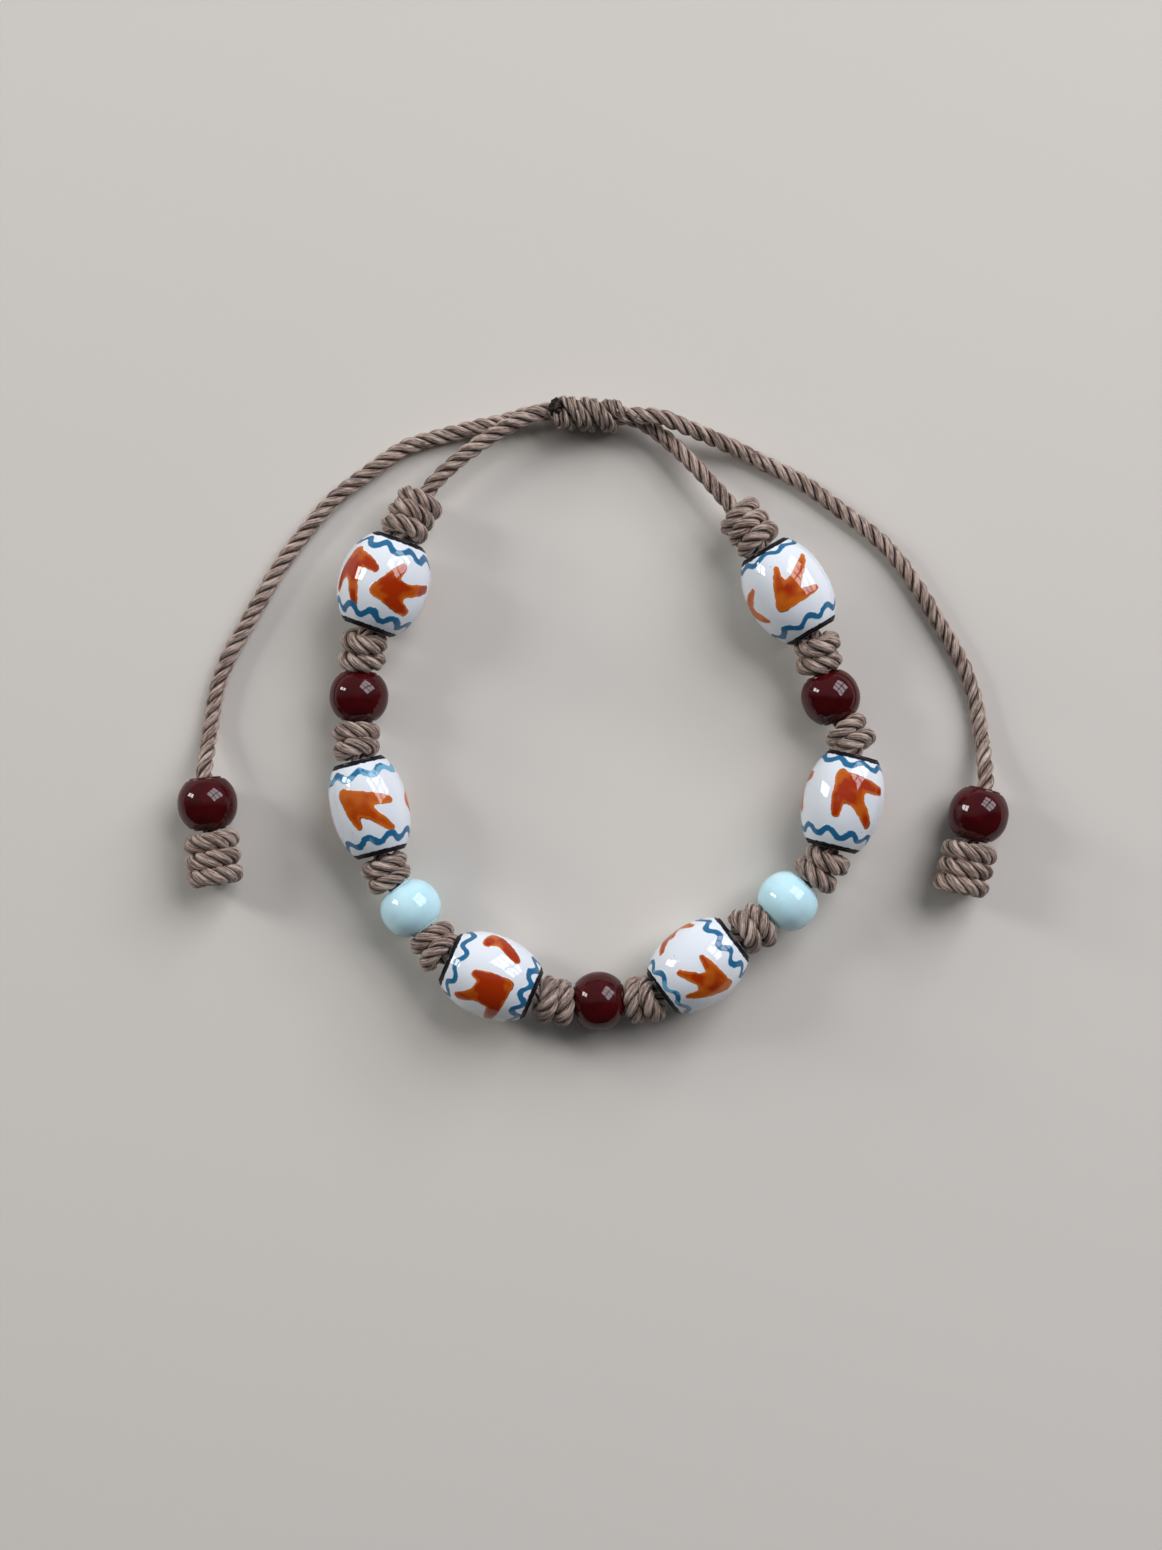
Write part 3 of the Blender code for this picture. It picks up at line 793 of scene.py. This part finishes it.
# Brush painting on the barrels. Places are degrees round from the bead's top, to the left of
# the string's way, and millimetres along it from the bead's middle.
LEAVES = {
    1: (((-1, 1.1), (23, -2.4), (72, -1.0), (49, 2.4)),
        ((-51, -2.4), (-12, -1.3), (-27, 3.3), (-65, 2.2)),
        ((150, -1.5), (112, -2.2), (120, 1.2), (158, 2.4))),
    2: (((-31, -2.0), (37, -0.3), (32, 3.0), (-18, 2.0)),
        ((80, 0.3), (112, -2.2), (130, 0.5), (110, 2.6)),
        ((-150, -1.6), (-105, -1.2), (-112, 2.4), (-152, 2.2))),
    3: (((2, 2.1), (0, -1.7), (-46, -2.7), (-67, 1.5)),
        ((66, -1.2), (49, -1.9), (60, 0.0), (42, 2.0)),
        ((-160, 1.8), (-118, 1.4), (-130, -2.2), (-168, -1.6))),
    4: (((-48, 1.3), (10, 1.0), (12, -2.2), (-25, -3.0)),
        ((106, 0.4), (69, 2.2), (73, -0.3), (60, -2.5)),
        ((-155, -1.2), (-112, -2.0), (-108, 1.4), (-140, 2.6))),
    5: (((16, 2.9), (-52, 2.1), (-43, -2.1), (12, -1.5)),
        ((110, 1.6), (77, 2.2), (83, -1.8), (118, -2.0)),
        ((-150, 1.9), (-108, 1.6), (-115, -2.0), (-158, -1.5))),
    6: (((23, -1.2), (4, 2.9), (-45, 2.7), (-33, -1.3)),
        ((88, 0.4), (54, 2.0), (80, 0.2), (57, -1.9)),
        ((-160, -1.4), (-112, -1.0), (-118, 2.3), (-162, 2.0))),
}
WAVE_COLUMNS = ("waves", "crest", "middle", "swing", "width", "pale")
WAVES = {
    1: ((9, 255, 4.15, 0.40, 0.35, 0.15), (10, 213, 3.95, 0.42, 0.36, 0.1)),
    2: ((8, 10, 4.05, 0.33, 0.40, 0.85), (9, 57, 3.95, 0.38, 0.37, 0.35)),
    3: ((9, 0, 4.10, 0.40, 0.31, 0.45), (10, 177, 4.35, 0.42, 0.36, 0.25)),
    4: ((9, 72, 4.25, 0.34, 0.30, 0.7), (10, 279, 3.80, 0.42, 0.35, 0.35)),
    5: ((9, 351, 3.85, 0.38, 0.34, 0.15), (8, 249, 4.60, 0.28, 0.33, 0.3)),
    6: ((9, 186, 4.05, 0.34, 0.33, 0.15), (8, 84, 4.75, 0.20, 0.28, 0.15)),
}
BRUSH_COLUMNS = ("tip_width", "body_width", "other_body_width", "load")
BRUSH = {
    1: (0.52, 1.25, 1.10, 1.45), 2: (0.42, 1.15, 0.80, 0.65), 3: (0.55, 1.90, 0.40, 1.80),
    4: (0.38, 1.25, 0.40, 1.10), 5: (0.54, 1.35, 0.45, 1.15), 6: (0.30, 0.95, 0.30, 0.80),
}
STROKE_ROOT = 0.5  # half width
STROKE_BELLY = 1.1  # four times what a pressed brush adds to the half width midway
BODY_REACH = 0.17  # of a leaf's body, as a share of its three tips' added up
STROKES_MERGE = 1.0  # how near two strokes run together
LEAF_ROUGHNESS = 0.35  # of the edges of leaves and rings
WAVE_ROUGHNESS = 0.3
WAVE_REACH = 4.2  # a barrel's radius near its ends
WAVE_STRAY = 2.4  # how unevenly the waves follow each other, in radians
WAVE_RISE = 0.5  # and how far the whole line wanders
RING_WIDTH = 0.6
RING_MIDDLE = 0.12  # from the rim's own mark

WHITE_CLAY = (0.79, 0.84, 0.88, 1)
ORANGE = (0.64, 0.165, 0.012, 1)
BURNT_ORANGE = (0.37, 0.028, 0.001, 1)
PAINT_EDGE = (0.14, 0.010, 0.002, 1)
WAVE_BLUE = (0.016, 0.145, 0.295, 1)
WAVE_PALE = (0.16, 0.42, 0.60, 1)
RING_BLACK = (0.008, 0.008, 0.011, 1)
BARE_CLAY = (0.30, 0.24, 0.20, 1)
STRAY_SPECK = (0.10, 0.07, 0.06, 1)


def use_group(tree, name, **inputs):
    """One use of a group of shader nodes; each input is a value or another output."""
    group = put(tree, "ShaderNodeGroup", node_tree=bpy.data.node_groups[name])
    for label, value in inputs.items():
        socket = group.inputs[label.replace("_", " ")]
        if isinstance(value, bpy.types.NodeSocket):
            tree.links.new(value, socket)
        else:
            socket.default_value = value
    return group.outputs


def way_of_nearer(tree, distance, along, other_distance, other_along):
    """The way along whichever of two strokes is nearer."""
    nearer = calc(tree, "LESS_THAN", other_distance, distance)
    inputs = {"Factor_Float": nearer, "A_Float": along, "B_Float": other_along}
    return put(tree, "ShaderNodeMix", inputs, data_type="FLOAT").outputs[0]


def stroke_group():
    """A brush stroke: the distance in mm from its edge, inside below nought, and way along it."""
    sockets = (("Place", "NodeSocketVector", None), ("To", "NodeSocketVector", None),
               ("Tip", "NodeSocketFloat", None))
    outputs = [("Distance", "NodeSocketFloat"), ("Along", "NodeSocketFloat")]
    tree, given, result = new_group("brush_stroke", "ShaderNodeTree", sockets, outputs)
    reach = vector_calc(tree, "DOT_PRODUCT", given["Place"], given["To"], out="Value")
    length = vector_calc(tree, "DOT_PRODUCT", given["To"], given["To"], out="Value")
    along = calc(tree, "DIVIDE", reach, length, clamp=True)
    nearest = scaled(tree, given["To"], along)
    away = vector_calc(tree, "DISTANCE", given["Place"], nearest, out="Value")
    width = ramp(tree, along, 0.0, 1.0, STROKE_ROOT, given["Tip"], smooth=False)
    pressed = calc(tree, "MULTIPLY", along, calc(tree, "SUBTRACT", 1.0, along))
    width = calc(tree, "MULTIPLY_ADD", pressed, STROKE_BELLY, width)
    tree.links.new(calc(tree, "SUBTRACT", away, width), result[0])
    tree.links.new(along, result[1])


def leaf_group():
    """Three strokes from one root, drawn round the bead: distance from the edge and way along."""
    vectors = ("Place", "Root", "Tip 1", "Tip 2", "Tip 3")
    sockets = [(label, "NodeSocketVector", None) for label in vectors]
    sockets += [(label, "NodeSocketFloat", None) for label in ("Girth", "Tip Width", "Body Width")]
    outputs = [("Distance", "NodeSocketFloat"), ("Along", "NodeSocketFloat")]
    tree, given, result = new_group("brush_leaf", "ShaderNodeTree", sockets, outputs)
    away = vector_calc(tree, "SUBTRACT", given["Place"], given["Root"])
    parts = put(tree, "ShaderNodeSeparateXYZ", {0: away}).outputs
    half = calc(tree, "MULTIPLY", given["Girth"], 0.5)
    around = calc(tree, "WRAP", parts[0], half, calc(tree, "MULTIPLY", half, -1.0))
    here = combine(tree, around, parts[1], 0.0)
    distance, along = None, None
    ways = [vector_calc(tree, "SUBTRACT", given[f"Tip {i}"], given["Root"]) for i in (1, 2, 3)]
    spine = vector_calc(tree, "ADD", vector_calc(tree, "ADD", ways[0], ways[1]), ways[2])
    widths = [given["Tip Width"]] * 3 + [given["Body Width"]]
    for to, width in zip(ways + [scaled(tree, spine, BODY_REACH)], widths):
        stroke = use_group(tree, "brush_stroke", Place=here, To=to, Tip=width)
        if distance is None:
            distance, along = stroke
        else:
            along = way_of_nearer(tree, distance, along, *stroke)
            distance = calc(tree, "SMOOTH_MIN", distance, stroke[0], STROKES_MERGE)
    tree.links.new(distance, result[0])
    tree.links.new(along, result[1])


def wave_group():
    """A wavy line round the bead: the distance in mm from its edge."""
    labels = ("Angle", "Along", "Wobble", "Waves", "Crest", "Middle", "Swing", "Width")
    sockets = [(label, "NodeSocketFloat", None) for label in labels]
    tree, given, result = new_group("wavy_line", "ShaderNodeTree", sockets,
                                    [("Distance", "NodeSocketFloat")])
    phase = calc(tree, "MULTIPLY_ADD", given["Angle"], given["Waves"],
                 calc(tree, "MULTIPLY", given["Crest"], -1.0))
    phase = calc(tree, "MULTIPLY_ADD", given["Wobble"], WAVE_STRAY, phase)
    height = calc(tree, "MULTIPLY_ADD", calc(tree, "COSINE", phase), given["Swing"],
                  given["Middle"])
    height = calc(tree, "MULTIPLY_ADD", given["Wobble"], WAVE_RISE, height)
    slope = calc(tree, "DIVIDE", calc(tree, "MULTIPLY", given["Swing"], given["Waves"]),
                 WAVE_REACH)
    lean = calc(tree, "MULTIPLY", calc(tree, "SINE", phase), slope)
    steep = calc(tree, "SQRT", calc(tree, "MULTIPLY_ADD", lean, lean, 1.0))
    off = calc(tree, "ABSOLUTE", calc(tree, "SUBTRACT", given["Along"], height))
    off = calc(tree, "DIVIDE", off, steep)
    tree.links.new(calc(tree, "SUBTRACT", off, given["Width"]), result[0])


def painted_leaves(tree, flat, body, rough_edge, number, radius):
    """Where a bead's leaves are, and their orange, darker where the paint pooled."""
    brush = dict(zip(BRUSH_COLUMNS, BRUSH[number]))
    leaves, reach = None, None
    for place, leaf in enumerate(LEAVES[number]):
        root, *tips = [(math.radians(turn) * radius, along, 0.0) for turn, along in leaf]
        strokes = use_group(
            tree, "brush_leaf", Place=flat, Girth=math.tau * radius, Root=root,
            Tip_1=tips[0], Tip_2=tips[1], Tip_3=tips[2], Tip_Width=brush["tip_width"],
            Body_Width=brush["other_body_width" if place else "body_width"])
        if leaves is None:
            leaves, reach = strokes
        else:
            reach = way_of_nearer(tree, leaves, reach, *strokes)
            leaves = calc(tree, "MINIMUM", leaves, strokes[0])
    leaves = calc(tree, "MULTIPLY_ADD", rough_edge, LEAF_ROUGHNESS, leaves)

    wash = speckle(tree, body, 0.5, 1.0, 0.4)
    thick = calc(tree, "MULTIPLY", ramp(tree, leaves, 0.0, -0.5, 0.15, 1.0),
                 ramp(tree, reach, 0.0, 0.45, 0.35, 1.0))
    thick = calc(tree, "MULTIPLY", thick, ramp(tree, wash, 0.27, 0.7, 0.35, 1.3))
    orange = mix(tree, calc(tree, "MULTIPLY", thick, brush["load"]), ORANGE, BURNT_ORANGE)
    edge = calc(tree, "MULTIPLY", ramp(tree, leaves, -0.2, -0.04), ramp(tree, wash, 0.54, 0.68))
    orange = mix(tree, calc(tree, "MULTIPLY", edge, 0.7), orange, PAINT_EDGE)
    return ramp(tree, leaves, 0.05, -0.05), orange


def painted_wave(tree, angle, along, body, rough_edge, row):
    """Where one wavy line is, and its blue, paler where the paint ran thin."""
    wobble = calc(tree, "SUBTRACT", speckle(tree, body, 0.42, 1.0, 0.5), 0.5)
    line = use_group(
        tree, "wavy_line", Angle=angle, Along=along, Wobble=wobble, Waves=row["waves"],
        Crest=math.radians(row["crest"]), Middle=row["middle"], Swing=row["swing"],
        Width=row["width"])[0]
    line = calc(tree, "MULTIPLY_ADD", rough_edge, WAVE_ROUGHNESS, line)
    thin = ramp(tree, speckle(tree, body, 0.6, 2.0, 0.5), 0.75 - 0.4 * row["pale"],
                0.95 - 0.5 * row["pale"])
    return ramp(tree, line, 0.06, -0.07), mix(tree, thin, WAVE_BLUE, WAVE_PALE)


def painted_finish(number, radius):
    """White clay with leaves, wavy lines and black rings under one thick glaze."""
    material, tree, shader = new_finish(f"painted_ceramic_{number}", 0.25, Coat_Weight=1.0,
                                        Coat_Roughness=0.025, Coat_IOR=1.52)
    paint = put(tree, "ShaderNodeAttribute", attribute_name="paint").outputs["Vector"]
    around, along, rim = put(tree, "ShaderNodeSeparateXYZ", {0: paint}).outputs
    flat = combine(tree, around, along, 0.0)
    body = object_place(tree)
    rough_edge = calc(tree, "SUBTRACT", speckle(tree, body, 1.6, 3.0, 0.6), 0.5)

    paint_mask, orange = painted_leaves(tree, flat, body, rough_edge, number, radius)
    colour = mix(tree, paint_mask, WHITE_CLAY, orange)
    angle = calc(tree, "DIVIDE", around, radius)
    for side, row in zip((-1.0, 1.0), WAVES[number]):
        from_middle = calc(tree, "MULTIPLY", along, side)
        mask, blue = painted_wave(tree, angle, from_middle, body, rough_edge,
                                  dict(zip(WAVE_COLUMNS, row)))
        colour = mix(tree, mask, colour, blue)
        paint_mask = calc(tree, "MAXIMUM", paint_mask, mask)

    off_ring = calc(tree, "ABSOLUTE", calc(tree, "SUBTRACT", rim, RING_MIDDLE))
    off_ring = calc(tree, "MULTIPLY_ADD", rough_edge, LEAF_ROUGHNESS, off_ring)
    ring_mask = ramp(tree, off_ring, RING_WIDTH / 2 + 0.05, RING_WIDTH / 2 - 0.05)
    colour = mix(tree, ring_mask, colour, RING_BLACK)
    tree.links.new(ramp(tree, ring_mask, 0.0, 1.0, 1.0, 0.35), shader.inputs["Coat Weight"])
    inside = ramp(tree, rim, -INSIDE_BORE, -INSIDE_BORE - 0.5)
    colour = mix(tree, calc(tree, "MULTIPLY", inside, 0.6), colour, BARE_CLAY)

    dots = put(tree, "ShaderNodeTexVoronoi", {"Vector": body, "Scale": 0.55, "Randomness": 1.0})
    speck = ramp(tree, dots.outputs["Distance"], 0.055, 0.03, 0.0, 0.55)
    colour = mix(tree, speck, colour, STRAY_SPECK)
    tree.links.new(colour, shader.inputs["Base Color"])

    waves = bump(tree, speckle(tree, body, 0.38, 1.0, 0.4), 0.16)
    tree.links.new(bump(tree, paint_mask, 0.035, waves), shader.inputs["Coat Normal"])
    tree.links.new(bump(tree, paint_mask, 0.03), shader.inputs["Normal"])
    return material


# Floor, light and camera


def add_camera():
    data = bpy.data.cameras.new("camera")
    data.sensor_fit = "VERTICAL"
    data.sensor_height = SENSOR_HEIGHT
    data.lens = SENSOR_HEIGHT * CAMERA_ABOVE / VIEW_HEIGHT
    data.clip_start = 0.01
    camera = link(bpy.data.objects.new("camera", data))
    camera.location = Vector((*VIEW_MIDDLE, BRACELET_LEVEL + CAMERA_ABOVE)) * MM
    bpy.context.scene.camera = camera


def add_floor():
    data = bpy.data.meshes.new("floor")
    half = FLOOR_SIDE / 2
    data.from_pydata([(-half, -half, 0), (half, -half, 0), (half, half, 0), (-half, half, 0)],
                     [], [(0, 1, 2, 3)])
    data.materials.append(new_finish("pale_floor", 0.9, Specular_IOR_Level=0.1,
                                     Base_Color=FLOOR_COLOUR)[0])
    link(bpy.data.objects.new("floor", data))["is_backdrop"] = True


# Name, azimuth, elevation, width, height, columns and rows of panes, brightness, colour
LIGHTS = (
    ("window", 46, 40, 0.72, 0.75, 2, 3, 6.2, (0.99, 0.98, 1.04)),
    ("side_window", 157, 24, 0.22, 0.46, 1, 2, 17.0, (1.0, 0.99, 0.98)),
)
LIGHT_DISTANCE = 0.9  # metres, as are the windows' widths and heights
PANE_BAR = 0.045
FLOOR_SIDE = 6.0  # metres
FLOOR_COLOUR = (0.69, 0.66, 0.60, 1)
DARK_END = (0.035, 0.034, 0.035, 1)
BRIGHT_END = (0.26, 0.27, 0.30, 1)


def add_lights():
    """Two windows of panes, each pane its own soft light, so that glazes mirror the bars too."""
    for name, azimuth, elevation, width, height, columns, rows, brightness, colour in LIGHTS:
        azimuth = math.radians(azimuth)
        elevation = math.radians(elevation)
        flat = math.cos(elevation)
        way = Vector((flat * math.cos(azimuth), flat * math.sin(azimuth), math.sin(elevation)))
        turn = way.to_track_quat("Z", "Y")
        step = Vector((width / columns, height / rows))
        for column in range(columns):
            for row in range(rows):
                data = bpy.data.lights.new(name, "AREA")
                data.shape = "RECTANGLE"
                data.size = step.x - PANE_BAR
                data.size_y = step.y - PANE_BAR
                data.energy = brightness * math.pi * data.size * data.size_y
                data.color = colour
                light = link(bpy.data.objects.new(name, data))
                shift = Vector(((column + 0.5) * step.x - width / 2,
                                (row + 0.5) * step.y - height / 2, 0.0))
                light.location = way * LIGHT_DISTANCE + turn @ shift
                light.rotation_euler = turn.to_euler()


def add_sky():
    """A dim room: brighter beyond the bracelet's top edge, dark behind its lower edge."""
    world = bpy.data.worlds.new("room")
    bpy.context.scene.world = world
    world.use_nodes = True
    tree = world.node_tree
    way = put(tree, "ShaderNodeTexCoord").outputs["Generated"]
    parts = put(tree, "ShaderNodeSeparateXYZ", {0: way}).outputs
    bright = ramp(tree, parts[1], -0.15, 0.2)
    colour = mix(tree, bright, DARK_END, BRIGHT_END)
    tree.links.new(colour, tree.nodes["Background"].inputs["Color"])


def read_pieces(mouths):
    """Every bead's and knot's stretch of string, round the loop and then out along the tails."""
    stretches = {}
    before = mouth_point(mouths[0], 1, 0.0)
    for name in LOOP_ORDER:
        stretches[name] = read_stretch(name, before)
        before = stretches[name].end
    for side, route in (("left", LEFT_TAIL_ROUTE), ("right", RIGHT_TAIL_ROUTE)):
        bead = read_stretch("tail_bead_" + side, Vector(route[-1]))
        stretches["tail_bead_" + side] = bead
        stretches["end_knot_" + side] = read_stretch("end_knot_" + side, bead.end)
    return stretches


def add_loop_knots(stretches):
    for name in LOOP_ORDER:
        if name.startswith("knot"):
            rows = OUTER_ROWS if name in OUTER_KNOTS else INNER_ROWS
            add_knot("wrapped_" + name, name, stretches[name], rows, int(name[-2:]))


def add_loop_beads(stretches, red, blue):
    for number in LEAVES:
        node = f"barrel_bead_{number}"
        finish = painted_finish(number, stretches[node].reach)
        add_bead(f"painted_barrel_{number}", node, stretches[node], BARREL_END_RADIUS, finish,
                 "painted_ceramic", number)
    for kind, finish, numbers in (("red", red, (1, 2, 3)), ("blue", blue, (1, 2))):
        for number in numbers:
            node = f"{kind}_bead_{number}"
            add_bead(f"{kind}_round_{number}", node, stretches[node], ROUND_END_RADIUS, finish,
                     kind + "_glaze", number + FIRST_ROUND_SEED)


def finish_tails(tails, stretches, red):
    """Each tail's bead and end knot; the tail's length and points are worked out and left unused.
    """
    for side, tail, path in tails:
        seed = TAIL_SEEDS[side]
        bead = add_bead("red_tail_round_" + side, "tail_bead_" + side,
                        stretches["tail_bead_" + side], ROUND_END_RADIUS, red, "red_glaze", seed)
        knot = add_knot("tail_end_knot_" + side, "end_knot_" + side,
                        stretches["end_knot_" + side], OUTER_ROWS, seed)
        path_length(path) * MM
        [p * MM for p in path]


def main():
    bpy.context.scene.view_settings.view_transform = "Standard"
    add_camera()
    laid_cord_tree()
    cord_finish()
    scorched_finish()
    mouths = sorted(end_faces("sliding_knot"), key=lambda mouth: mouth[0].x)
    stretches = read_pieces(mouths)
    tails = list(add_cords(mouths, stretches))
    add_loop_knots(stretches)
    add_sliding_knot(mouths)
    add_melted_end()

    stroke_group()
    leaf_group()
    wave_group()
    red = glaze_finish("red_glaze_depth", 0.7, RED_GLAZE)
    blue = glaze_finish("blue_glaze_depth", 1.0, BLUE_GLAZE)
    add_loop_beads(stretches, red, blue)
    finish_tails(tails, stretches, red)
    add_floor()
    add_lights()
    add_sky()
    visual_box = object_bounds()
    boxes = {"cad": cad_box, "visual": visual_box}
    {name: [list(corner) for corner in box] for name, box in boxes.items()}


main()
